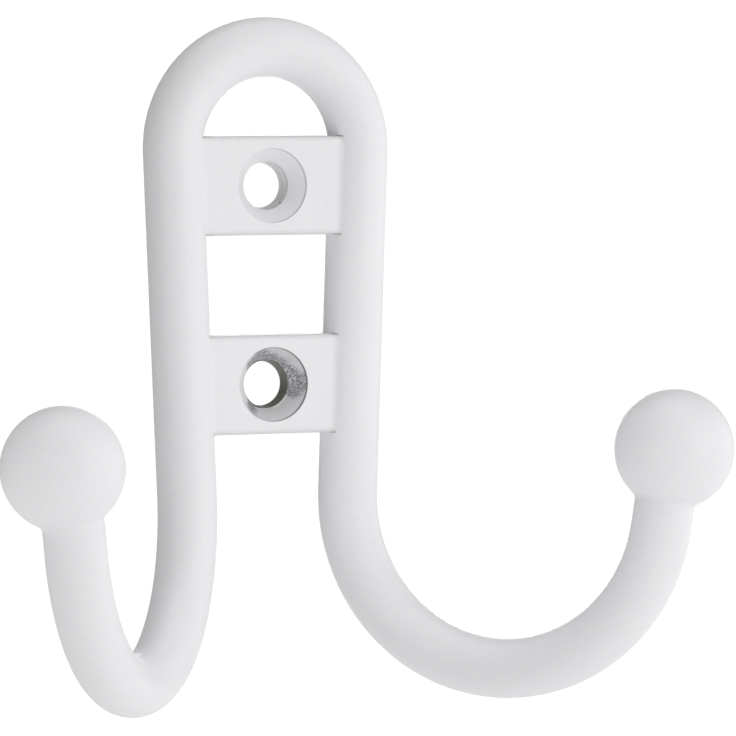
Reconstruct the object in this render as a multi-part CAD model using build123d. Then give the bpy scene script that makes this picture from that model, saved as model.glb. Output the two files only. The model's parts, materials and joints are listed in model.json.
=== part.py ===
from build123d import *
from math import cos, radians, sin, sqrt, tan
import os

# Double wall hook, cast in one piece. A round bar forms an arch whose two legs run down the wall, turn
# forwards and outwards, and rise again as two arms that end in balls. Two plates with countersunk screw
# holes bridge the legs, and the back is flat, so that the hook lies on the wall. Millimetres.
# The origin lies on the wall, midway between the screw holes. +Z is up, +X is to the right, and the hook
# reaches out from the wall towards -Y.

# Bar
bar_diameter = 6.35
seat_cut = 1.12  # depth of the flat along the back of the bar

# Arch and legs, with sizes to the bar's centre line
arch_radius = 10.8
arch_height = 14.55  # of the arch's centre above the origin
leg_lean = 2.2  # degrees by which each leg leans inwards on its way down
leg_drop = 22.25  # from the origin down to where the legs begin to bend

# Arms, with sizes to the bar's centre line
arm_radius = 18.15
arm_turn = 173.5  # degrees of bend from the leg to the neck
arm_spread = 41.2  # degrees between an arm and straight ahead, seen from above
neck_length = 8.2  # from the end of that bend to the ball's centre
neck_flare = 9.5  # degrees by which the neck bends outwards over its length
ball_diameter = 12.65
neck_fillet = 0.6  # where the neck runs into the ball

# Screw plates
plate_height = 10.55
plate_recess = 1.45  # from the front of the bar back to the face of a plate
plate_edge_radius = 0.3  # of its long front edges
plate_fillet = 0.9  # where the face of a plate runs into the legs
fillet_bite = 0.01  # by which those fillets run into the legs, so that they join
plate_lap = 1.0  # by which each half of a plate reaches past the middle
hole_spacing = 21.2
hole_diameter = 4.76  # at the back, where it is narrowest
sink_diameter = 8.0
upper_sink_angle = 73.0  # degrees across the whole cone of the upper countersink
lower_sink_angle = 66.0  # and of the lower one, which is deeper
taper_diameter = 5.8  # of a hole's steeper taper below its countersink, if it ran on to the plate's face
taper_angle = 18.0  # degrees across the whole taper

# Sizes that follow from those above
bar_radius = bar_diameter / 2
axis_offset = bar_radius - seat_cut  # from the wall to the bar's centre line
plate_thickness = axis_offset + bar_radius - plate_recess
sink_angles = {hole_spacing / 2: upper_sink_angle, -hole_spacing / 2: lower_sink_angle}  # by the hole's height
lean = radians(leg_lean)
spread = radians(arm_spread)
leg_start = Vector(arch_radius * cos(lean), -axis_offset, arch_height - arch_radius * sin(lean))
leg_length = (leg_start.Z + leg_drop) / cos(lean)

# Directions, and the wall as a plane that faces the room
to_the_left = Vector(-1, 0, 0)
into_wall = Vector(0, 1, 0)
down_leg = Vector(-sin(lean), 0, -cos(lean))
along_arm = Vector(sin(spread), -cos(spread), 0)
wall = Plane.XZ


def straight(start, length):
    """A straight stretch of bar from a plane across it, and the plane at its other end."""
    return extrude(start * Circle(bar_radius), length), start.offset(length)


def bend(start, towards, radius, angle):
    """A stretch of bar from a plane across it, bent towards a side, and the plane at its other end."""
    side = (towards - start.z_dir * towards.dot(start.z_dir)).normalized()
    pivot = start.origin + side * radius
    turn = Axis(pivot, start.z_dir.cross(side))
    solid = revolve(start * Circle(bar_radius), turn, angle)
    end = Plane(pivot - side.rotate(turn, angle) * radius,
                x_dir=start.x_dir.rotate(turn, angle), z_dir=start.z_dir.rotate(turn, angle))
    return solid, end


def full_arch():
    """The arch, from the top of the right leg over to the top of the left one."""
    start = Plane(leg_start, x_dir=into_wall, z_dir=-down_leg)
    arch, _ = bend(start, to_the_left, arch_radius, 180 + 2 * leg_lean)
    return arch


def tip(arm_end):
    """The neck, bent outwards, and the ball that it runs into."""
    outwards = arm_end.z_dir.cross(along_arm)
    start = Plane(arm_end.origin, x_dir=outwards, z_dir=arm_end.z_dir)
    neck, end = bend(start, outwards, neck_length / radians(neck_flare), neck_flare)
    ball = end * Sphere(ball_diameter / 2)
    joined = neck + ball
    return fillet(new_edges(neck, ball, combined=joined), neck_fillet)


def right_side():
    """The right leg, and the arm that it bends into."""
    leg, leg_end = straight(Plane(leg_start, x_dir=into_wall, z_dir=down_leg), leg_length)
    arm, arm_end = bend(leg_end, along_arm, arm_radius, arm_turn)
    return leg + arm + tip(arm_end)


def bent_bar():
    """The whole bar, with its back cut flat to lie on the wall."""
    right = right_side()
    return split(full_arch() + right + mirror(right, about=Plane.YZ), bisect_by=wall, keep=Keep.TOP)


def leg_centre(height):
    """X of the right leg's centre line at a height."""
    return leg_start.X + (height - leg_start.Z) * tan(lean)


def half_plate(bottom, top):
    """The right half of a plate, up to the leg's centre line, with a face that curves forwards at the leg."""
    leg = Vector(leg_centre(top), -axis_offset)
    pivot_forward = plate_thickness - axis_offset + plate_fillet
    pivot_distance = bar_radius + plate_fillet - fillet_bite
    pivot = leg - Vector(sqrt(pivot_distance ** 2 - pivot_forward ** 2), pivot_forward)
    curve_start = Vector(pivot.X, -plate_thickness)
    curve_end = pivot + (leg - pivot) * (plate_fillet / pivot_distance)
    inner_front = Vector(-plate_lap, -plate_thickness)
    inner_back = Vector(-plate_lap, 0)
    face = Line(inner_front, curve_start)
    curve = RadiusArc(curve_start, curve_end, plate_fillet)
    rest = Polyline(curve_end, leg, (leg.X, 0), inner_back, inner_front)
    section = Plane.XY.offset(top) * make_face(Curve() + [face, curve, rest])
    return extrude(section, (top - bottom) / cos(lean), dir=down_leg)


def plate(middle):
    """A screw plate from leg to leg, with its long front edges rounded."""
    right = half_plate(middle - plate_height / 2, middle + plate_height / 2)
    blank = right + mirror(right, about=Plane.YZ)
    face = blank.faces().filter_by(Axis.Y).sort_by(Axis.Y)[0]
    return fillet(face.edges().filter_by(Axis.X), plate_edge_radius)


def screw_hole(middle, sink_angle):
    """What is cut away for a screw: the hole through a plate, its countersink, and the taper below that."""
    mouth = wall.offset(plate_thickness) * Pos(0, middle)
    sink = CounterSinkHole(hole_diameter / 2, sink_diameter / 2, 2 * plate_thickness, sink_angle)
    taper = CounterSinkHole(hole_diameter / 2, taper_diameter / 2, 2 * plate_thickness, taper_angle)
    return mouth * (sink + taper)


def double_hook():
    """The bar and its plates as one casting, with its screw holes."""
    casting = bent_bar() + [plate(middle) for middle in sink_angles]
    return casting - [screw_hole(middle, angle) for middle, angle in sink_angles.items()]


os.makedirs("parts", exist_ok=True)
export_step(double_hook(), "parts/double_hook.step")
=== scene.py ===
import json
from math import cos, radians, sin

import bmesh
import bpy
from mathutils import Matrix, Vector


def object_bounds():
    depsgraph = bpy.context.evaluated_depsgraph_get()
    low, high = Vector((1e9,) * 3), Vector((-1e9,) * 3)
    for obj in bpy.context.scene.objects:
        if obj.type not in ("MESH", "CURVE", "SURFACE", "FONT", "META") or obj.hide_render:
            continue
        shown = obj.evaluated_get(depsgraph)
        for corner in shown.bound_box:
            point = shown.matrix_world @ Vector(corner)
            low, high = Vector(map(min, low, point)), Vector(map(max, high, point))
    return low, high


# Looks of the white double hook: its powder coat, the bare metal in its lower countersink, soft studio light
# on a pale floor, and the camera. Metres, in the frame of the CAD part, whose one node stays as it is.
# A pair of values says where a blend begins and where it is whole, unless a comment says otherwise.

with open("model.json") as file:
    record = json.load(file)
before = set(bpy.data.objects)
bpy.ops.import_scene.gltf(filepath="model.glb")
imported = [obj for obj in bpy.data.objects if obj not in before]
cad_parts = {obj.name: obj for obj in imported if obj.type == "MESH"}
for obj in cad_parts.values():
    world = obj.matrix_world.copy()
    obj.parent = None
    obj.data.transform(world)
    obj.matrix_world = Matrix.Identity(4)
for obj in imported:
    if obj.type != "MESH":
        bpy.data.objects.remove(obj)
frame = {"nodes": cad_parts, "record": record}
cad_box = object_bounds()

mm = 0.001
white = (1, 1, 1, 1)
hook = frame["nodes"]["double_hook"]

# Screw holes. The record gives their spacing, and their other sizes are as in the part's source.
screw_holes = next(mount for mount in frame["record"]["mounts"] if mount["name"] == "screw_holes")
hole_height = screw_holes["dims"]["spacing_y_mm"] * mm / 2
sink_radius = 4.0 * mm
sink_depth = (-1.4 * mm, -1.5 * mm)  # every point of a countersink lies further forwards than these
upper_throat = 2.600 * mm  # radius at which a countersink meets the wall of its hole
lower_throat = 2.545 * mm
wall_end = (-0.05 * mm, -0.10 * mm)  # depths, just in front of the part's back
wall_soft = 0.03 * mm  # half the width over which the front edge of a wall blends

# Powder coat: white with faint clouds and a fine mottle, slightly wavy and finely grained
coat_light = (0.862, 0.863, 0.872, 1)
coat_dark = (0.828, 0.834, 0.858, 1)
coat_cloud = 7.0 * mm
coat_mottle = 0.5 * mm
mottle_contrast = (0.35, 0.65)
mottle_share = 0.5
coat_roughness = (0.40, 0.50)  # least and greatest
coat_wave = 1.3 * mm
coat_wave_depth = 0.004 * mm
coat_grain = 0.16 * mm
coat_grain_depth = 0.001 * mm

# Painted shade along the plates' long front edges, and darker painted shade in their corners where they meet
# the legs
plate_half = 5.275 * mm  # from the middle of a plate up to its edge, as in the part's source
plate_rim = (-0.10 * mm, -0.02 * mm)  # distances inwards from a long edge, so both just outside it
plate_front = (-4.05 * mm, -3.9 * mm)  # depths, behind the legs' fronts
plate_back = (-3.0 * mm, -3.3 * mm)  # depths, behind the plates' front edges
plate_reach = (9.0 * mm, 8.4 * mm)  # distances to either side, where the plates run into the legs
plate_corner = (6.4 * mm, 7.2 * mm)  # distances to either side
edge_fade = 0.65 * mm
edge_shade_colour = (0.70, 0.70, 0.71, 1)
corner_fade = 0.22 * mm
corner_shade_colour = (0.46, 0.46, 0.47, 1)

# Darker line along the countersinks' rims. It fades in by shares of the radius to the right.
rim_width = 0.13 * mm
rim_soft = 0.026 * mm  # half the width over which the line's edges blend
upper_rim = (0.57, 0.565, 0.59, 1)
upper_rim_fade = (-0.8, 0.8)
lower_rim = (0.22, 0.22, 0.23, 1)
lower_rim_fade = (-0.8, 1.0)

# Upper hole: its wall is dusted with paint and ringed by the drill, with a chip in its dark front edge
dusted_light = (0.86, 0.86, 0.87, 1)
dusted_dark = (0.62, 0.62, 0.63, 1)
dusted_edge = 0.04 * mm
dusted_edge_colour = (0.38, 0.38, 0.38, 1)
drill_ring = 0.20 * mm
drill_stretch = (0.12, 1, 0.12)  # draws the noise out along the rings
drill_contrast = (0.3, 0.7)
chip = (1.77 * mm, -1.87 * mm, 0.07 * mm)  # across and up from the hole's axis, and radius
chip_soft = 0.05 * mm
chip_colour = (0.25, 0.25, 0.25, 1)

# Lower hole: countersunk again after painting, so that it is bare metal with rough patches and a dark wall
metal_light = (0.80, 0.80, 0.815, 1)
metal_dark = (0.72, 0.72, 0.74, 1)
metal_cloud = 1.2 * mm
metal_share = 0.25
metal_roughness = 0.5
metal_ragged = 0.12 * mm
metal_soft = 0.04 * mm  # half the width over which the metal's outer edge blends
painted_side = (-0.90, -0.74)  # share of the radius to the left where the paint is whole, and where it ends
pit_light = (0.58, 0.57, 0.60, 1)
pit_dark = (0.235, 0.23, 0.245, 1)
pit_contrast = (0.38, 0.62)
pit_grain = 0.19 * mm
pit_depth = 0.015 * mm
patch_ragged = 0.6 * mm
patch_core = 0.2  # share of its radius within which a patch is whole
rough_patches = {  # across and up from the hole's axis, and radius
    "upper left": (-1.2 * mm, 3.1 * mm, 1.6 * mm),
    "top": (0.4 * mm, 2.6 * mm, 1.1 * mm),
    "upper right": (1.5 * mm, 2.1 * mm, 1.1 * mm),
    "right above": (2.4 * mm, 1.3 * mm, 1.1 * mm),
    "right": (3.3 * mm, 0.3 * mm, 1.5 * mm),
    "lower right": (2.9 * mm, -0.8 * mm, 1.15 * mm),
    "lower left": (-2.0 * mm, -2.4 * mm, 1.2 * mm),
    "left above": (-2.2 * mm, 2.0 * mm, 1.1 * mm),
}
speck_colour = (0.95, 0.95, 0.96, 1)
speck_grain = 0.26 * mm
speck_contrast = (0.57, 0.67)
speck_patch = (2.3 * mm, 1.1 * mm, 1.7 * mm)  # across and up from the hole's axis, and radius
bore_light = (0.23, 0.22, 0.19, 1)
bore_dark = (0.13, 0.125, 0.11, 1)
bore_edge_shade = 0.05 * mm  # by which the dark of the wall reaches over its front edge, as painted shade on that sharp edge
bore_left_edge_shade = 0.13 * mm  # and by how much further where that is bare on the left
bore_left = (0.0 * mm, -1.2 * mm)  # distances to the right
# Painted highlight along the lower right of the lower hole's front edge
edge_highlight_width = 0.21 * mm
edge_highlight_towards = radians(-52)
edge_highlight_reach = (2.42 * mm, 2.58 * mm)  # distances that way
edge_highlight_colour = (0.95, 0.94, 0.90, 1)

# Camera, with its focal length and the picture's width in pixels
camera_yaw = radians(24.88)
camera_pitch = radians(2.547)
camera_roll = radians(-0.255)
camera_distance = 608.3 * mm
camera_target = Vector((11.881, -2.055, -9.173)) * mm
focal_pixels = 5645
frame_pixels = 736

# Floor and even light
floor_gap = 60 * mm
floor_radius = 0.6
floor_sides = 128
floor_colour = (0.9, 0.9, 0.9, 1)
floor_roughness = 0.8
floor_glow = 0.216
ambient = 0.280
seen_white = 1.05  # of floor and background to the camera, a little over white, so that no grain shows

# Softboxes: what each shines on, degrees right of straight ahead, degrees up, distance, diameter and watts.
# Two of them stand close to the balls.
ball_radius = 6.3 * mm
ball_height = -14.3 * mm
ball_across = cad_box[1][0] - ball_radius
ball_forward = cad_box[0][1] + ball_radius
middle = Vector((0, 0, 0))
left_ball = Vector((-ball_across, ball_forward, ball_height))
right_ball = Vector((ball_across, ball_forward, ball_height))
softboxes = {
    "key": (middle, 30, 18, 0.50, 0.50, 0.973),
    "side": (middle, 90, 0, 0.50, 0.50, 0.658),
    "top": (middle, 0, 85, 0.50, 0.50, 0.84),
    "near_left": (middle, -45, 0, 0.16, 0.10, 0.0207),
    "left_card": (left_ball, -90, 0, 0.04, 0.03, 0.0021),
    "right_card": (right_ball, -60, 0, 0.04, 0.03, 0.0015),
    "back": (middle, 155, 0, 0.50, 0.20, 0.6),
}


def node(tree, kind, inputs, **settings):
    """A shader node with its settings, and a value or a link for each of its inputs."""
    made = tree.nodes.new(kind)
    for name, value in settings.items():
        setattr(made, name, value)
    for name, value in inputs.items():
        if isinstance(value, bpy.types.NodeSocket):
            tree.links.new(value, made.inputs[name])
        else:
            made.inputs[name].default_value = value
    return made


def calc(tree, operation, first, second=0.0):
    """The result of a sum on one or two numbers or links."""
    return node(tree, "ShaderNodeMath", {0: first, 1: second}, operation=operation).outputs[0]


def product(tree, result, *factors):
    """The product of numbers or links."""
    for factor in factors:
        result = calc(tree, "MULTIPLY", result, factor)
    return result


def vector(tree, operation, first, second=(0, 0, 0)):
    """The node of a sum on one or two vectors or links."""
    return node(tree, "ShaderNodeVectorMath", {0: first, 1: second}, operation=operation)


def coordinate(tree, place, axis):
    """X, Y or Z of a point."""
    return node(tree, "ShaderNodeSeparateXYZ", {0: place}).outputs[axis]


def step(tree, value, low, high):
    """A smooth step, from 0 where the value is at low to 1 where it is at high."""
    inputs = {"Value": value, "From Min": low, "From Max": high}
    return node(tree, "ShaderNodeMapRange", inputs, interpolation_type="SMOOTHSTEP").outputs["Result"]


def noise(tree, place, grain, detail=3.0):
    """Noise from 0 to 1, in blotches about as large as the grain."""
    inputs = {"Vector": place, "Scale": 1 / grain, "Detail": detail}
    return node(tree, "ShaderNodeTexNoise", inputs).outputs["Fac"]


def mix(tree, share, first, second):
    """A number that goes from the first to the second."""
    return node(tree, "ShaderNodeMix", {0: share, 2: first, 3: second}).outputs[0]


def mix_colour(tree, share, first, second):
    """A colour that goes from the first to the second."""
    return node(tree, "ShaderNodeMix", {0: share, 6: first, 7: second}, data_type="RGBA").outputs[2]


def distance_from_axis(tree, place, across, height):
    """How far a point lies from a line that runs straight into the wall."""
    apart = vector(tree, "SUBTRACT", place, (across, 0, height)).outputs[0]
    flat = vector(tree, "MULTIPLY", apart, (1, 0, 1)).outputs[0]
    return vector(tree, "LENGTH", flat).outputs["Value"]


def within(tree, distance, radius, edge):
    """1 inside a radius and 0 outside it, with a soft edge."""
    return step(tree, distance, radius + edge, radius - edge)


def plate_edge_shade(tree, place, colour):
    """The coat's colour, with painted shade along the plates' long front edges and darker painted shade in
    their corners.
    """
    across = calc(tree, "ABSOLUTE", coordinate(tree, place, "X"))
    depth = coordinate(tree, place, "Y")
    height = calc(tree, "SUBTRACT", calc(tree, "ABSOLUTE", coordinate(tree, place, "Z")), hole_height)
    inwards = calc(tree, "SUBTRACT", plate_half, calc(tree, "ABSOLUTE", height))
    at_front = product(tree, step(tree, depth, *plate_front), step(tree, depth, *plate_back))
    on_plate = product(tree, at_front, step(tree, across, *plate_reach), step(tree, inwards, *plate_rim))
    edge = product(tree, on_plate, step(tree, inwards, edge_fade, 0.0))
    corner = product(tree, on_plate, step(tree, inwards, corner_fade, 0.0), step(tree, across, *plate_corner))
    return mix_colour(tree, corner, mix_colour(tree, edge, colour, edge_shade_colour), corner_shade_colour)


def rim(tree, place, distance, fade):
    """A darker line along a countersink's rim, which fades out towards the left."""
    off_line = calc(tree, "ABSOLUTE", calc(tree, "SUBTRACT", distance, sink_radius - rim_width / 2))
    line = within(tree, off_line, rim_width / 2, rim_soft)
    to_the_right = calc(tree, "DIVIDE", coordinate(tree, place, "X"), sink_radius)
    return product(tree, line, step(tree, to_the_right, *fade))


def rings(tree, place):
    """Noise in rings round the holes, as a drill leaves them."""
    stretched = vector(tree, "MULTIPLY", place, drill_stretch).outputs[0]
    return step(tree, noise(tree, stretched, drill_ring), *drill_contrast)


def hole_wall(tree, place, distance, radius):
    """1 on the wall of a hole, from its front edge at a radius to the part's back."""
    before_back = step(tree, coordinate(tree, place, "Y"), *wall_end)
    return product(tree, within(tree, distance, radius, wall_soft), before_back)


def dusted_wall(tree, upper, drill):
    """Colour of the upper hole's wall, with its dark front edge."""
    dusted = mix_colour(tree, drill, dusted_dark, dusted_light)
    edge = step(tree, upper, upper_throat - dusted_edge, upper_throat)
    return mix_colour(tree, edge, dusted, dusted_edge_colour)


def coat_colour(tree, place, upper, drill, in_front):
    """The coat, with painted shade on the plates' edges, the darker line along the upper rim, and the upper
    hole's wall and chip.
    """
    mottle = step(tree, noise(tree, place, coat_mottle), *mottle_contrast)
    clouds = mix(tree, mottle_share, noise(tree, place, coat_cloud), mottle)
    colour = plate_edge_shade(tree, place, mix_colour(tree, clouds, coat_dark, coat_light))
    line = product(tree, rim(tree, place, upper, upper_rim_fade), in_front)
    colour = mix_colour(tree, line, colour, upper_rim)
    wall = hole_wall(tree, place, upper, upper_throat)
    colour = mix_colour(tree, wall, colour, dusted_wall(tree, upper, drill))
    across, up, radius = chip
    chipped = within(tree, distance_from_axis(tree, place, across, up + hole_height), radius, chip_soft)
    return mix_colour(tree, product(tree, chipped, in_front), colour, chip_colour)


def bare_side(tree, place, lower):
    """1 round the lower countersink but on its left, where the paint is whole."""
    to_the_right = calc(tree, "DIVIDE", coordinate(tree, place, "X"), lower)
    return step(tree, to_the_right, *painted_side)


def lower_wall(tree, place, lower):
    """1 on the lower hole's wall, and as painted shade a little over its front edge, further where that is
    bare on the left.
    """
    left = step(tree, coordinate(tree, place, "X"), *bore_left)
    further = product(tree, left, bare_side(tree, place, lower), bore_left_edge_shade)
    reached = calc(tree, "SUBTRACT", lower, further)
    return hole_wall(tree, place, reached, lower_throat + bore_edge_shade)


def bare_metal(tree, place, lower, wall, in_front):
    """1 where the lower hole is bare: in its countersink, out to a ragged edge, and on its wall."""
    ragged = mix(tree, noise(tree, place, pit_grain), -metal_ragged / 2, metal_ragged / 2)
    sink = within(tree, calc(tree, "ADD", lower, ragged), sink_radius, metal_soft)
    return calc(tree, "MAXIMUM", product(tree, sink, bare_side(tree, place, lower), in_front), wall)


def lower_patch(tree, place, across, up, radius):
    """A patch of the lower countersink, from 1 round its middle to 0 at its radius."""
    distance = distance_from_axis(tree, place, across, up - hole_height)
    return step(tree, distance, radius, patch_core * radius)


def roughened(tree, place):
    """1 in the rough patches of the lower countersink, with ragged edges."""
    ragged = calc(tree, "SUBTRACT", noise(tree, place, patch_ragged), 0.5)
    for patch in rough_patches.values():
        ragged = calc(tree, "ADD", ragged, lower_patch(tree, place, *patch))
    return step(tree, ragged, 0.0, 1.0)


def edge_highlight(tree, place, lower):
    """1 on the painted highlight along the lower right of the lower hole's front edge."""
    apart = vector(tree, "SUBTRACT", place, (0, 0, -hole_height)).outputs[0]
    towards = (cos(edge_highlight_towards), 0, sin(edge_highlight_towards))
    reach = vector(tree, "DOT_PRODUCT", apart, towards).outputs["Value"]
    ring = within(tree, lower, lower_throat + edge_highlight_width, wall_soft)
    return product(tree, ring, step(tree, reach, *edge_highlight_reach))


def metal_colour(tree, place, lower, wall, drill, pits, rough):
    """Bare metal with pits and bright specks, its rim, and the painted highlight and the dark wall of the
    lower hole.
    """
    smooth = mix_colour(tree, noise(tree, place, metal_cloud), metal_dark, metal_light)
    pitted = mix_colour(tree, step(tree, pits, *pit_contrast), pit_dark, pit_light)
    specks = step(tree, noise(tree, place, speck_grain, detail=0.0), *speck_contrast)
    specks = product(tree, specks, lower_patch(tree, place, *speck_patch))
    colour = mix_colour(tree, rough, smooth, mix_colour(tree, specks, pitted, speck_colour))
    colour = mix_colour(tree, rim(tree, place, lower, lower_rim_fade), colour, lower_rim)
    colour = mix_colour(tree, edge_highlight(tree, place, lower), colour, edge_highlight_colour)
    return mix_colour(tree, wall, colour, mix_colour(tree, drill, bore_dark, bore_light))


def relief(tree, place, bare, pits, rough):
    """Height of the surface's fine relief: waves and grain on the coat, and pits in the metal."""
    wave = product(tree, noise(tree, place, coat_wave, detail=1.0), coat_wave_depth)
    grain = product(tree, noise(tree, place, coat_grain), coat_grain_depth)
    return mix(tree, bare, calc(tree, "ADD", wave, grain), product(tree, pits, rough, pit_depth))


def powder_coat():
    """White powder coat, with bare metal in the lower countersink and grey walls in both holes."""
    material = bpy.data.materials.new("white_powder_coat")
    material.use_nodes = True
    tree = material.node_tree
    shader = tree.nodes["Principled BSDF"]
    place = node(tree, "ShaderNodeTexCoord", {}).outputs["Object"]
    upper = distance_from_axis(tree, place, 0, hole_height)
    lower = distance_from_axis(tree, place, 0, -hole_height)
    in_front = step(tree, coordinate(tree, place, "Y"), *sink_depth)
    drill = rings(tree, place)
    pits = noise(tree, place, pit_grain, detail=2.0)
    rough = roughened(tree, place)
    wall = lower_wall(tree, place, lower)
    bare = bare_metal(tree, place, lower, wall, in_front)

    coat = coat_colour(tree, place, upper, drill, in_front)
    metal = metal_colour(tree, place, lower, wall, drill, pits, rough)
    tree.links.new(mix_colour(tree, bare, coat, metal), shader.inputs["Base Color"])
    tree.links.new(product(tree, bare, metal_share), shader.inputs["Metallic"])
    gloss = mix(tree, noise(tree, place, coat_wave), *coat_roughness)
    tree.links.new(mix(tree, bare, gloss, metal_roughness), shader.inputs["Roughness"])
    bump = node(tree, "ShaderNodeBump", {"Height": relief(tree, place, bare, pits, rough), "Distance": 1.0})
    tree.links.new(bump.outputs["Normal"], shader.inputs["Normal"])
    return material


def pale_floor():
    """Pale matt floor, white to the camera so that it runs into the white behind it."""
    material = bpy.data.materials.new("pale_floor")
    material.use_nodes = True
    tree = material.node_tree
    shader = tree.nodes["Principled BSDF"]
    shader.inputs["Base Color"].default_value = floor_colour
    shader.inputs["Roughness"].default_value = floor_roughness
    shader.inputs["Emission Color"].default_value = white
    seen = node(tree, "ShaderNodeLightPath", {}).outputs["Is Camera Ray"]
    tree.links.new(mix(tree, seen, floor_glow, seen_white), shader.inputs["Emission Strength"])
    return material


def add_floor():
    """A round floor below the hook."""
    lowest = cad_box[0][2]
    mesh = bpy.data.meshes.new("floor")
    disc = bmesh.new()
    bmesh.ops.create_circle(disc, cap_ends=True, radius=floor_radius, segments=floor_sides)
    disc.to_mesh(mesh)
    disc.free()
    mesh.materials.append(pale_floor())
    floor = bpy.data.objects.new("floor", mesh)
    floor.location = (0, 0, lowest - floor_gap)
    bpy.context.scene.collection.objects.link(floor)


def add_softbox(name, aim, azimuth, elevation, distance, diameter, power):
    """A soft round light that shines on a point of the hook from a direction."""
    turn = radians(azimuth)
    rise = radians(elevation)
    direction = Vector((sin(turn) * cos(rise), -cos(turn) * cos(rise), sin(rise)))
    data = bpy.data.lights.new(name, "AREA")
    data.shape = "DISK"
    data.size = diameter
    data.energy = power
    light = bpy.data.objects.new(name, data)
    light.location = aim + direction * distance
    light.rotation_euler = direction.to_track_quat("Z", "Y").to_euler()
    light.visible_camera = False
    bpy.context.scene.collection.objects.link(light)


def add_world():
    """White to the camera, and a dimmer even light to everything else."""
    world = bpy.data.worlds.new("studio")
    world.use_nodes = True
    tree = world.node_tree
    background = tree.nodes["Background"]
    background.inputs["Color"].default_value = white
    seen = node(tree, "ShaderNodeLightPath", {}).outputs["Is Camera Ray"]
    tree.links.new(mix(tree, seen, ambient, seen_white), background.inputs["Strength"])
    bpy.context.scene.world = world


def add_camera():
    """The camera, where the photograph was taken from."""
    level = Vector((cos(camera_yaw), -sin(camera_yaw), 0))
    ahead = Vector((sin(camera_yaw), cos(camera_yaw), 0))
    forward = ahead * cos(camera_pitch) - Vector((0, 0, sin(camera_pitch)))
    upright = level.cross(forward)
    right = level * cos(camera_roll) + upright * sin(camera_roll)
    up = upright * cos(camera_roll) - level * sin(camera_roll)
    data = bpy.data.cameras.new("camera")
    data.lens = data.sensor_width * focal_pixels / frame_pixels
    camera = bpy.data.objects.new("camera", data)
    turn = Matrix((right, up, -forward)).transposed().to_4x4()
    camera.matrix_world = Matrix.Translation(camera_target - forward * camera_distance) @ turn
    bpy.context.scene.collection.objects.link(camera)
    bpy.context.scene.camera = camera


hook.material_slots[0].material = powder_coat()
add_floor()
for name, settings in softboxes.items():
    add_softbox(name, *settings)
add_world()
add_camera()
bpy.context.scene.view_settings.view_transform = "Standard"
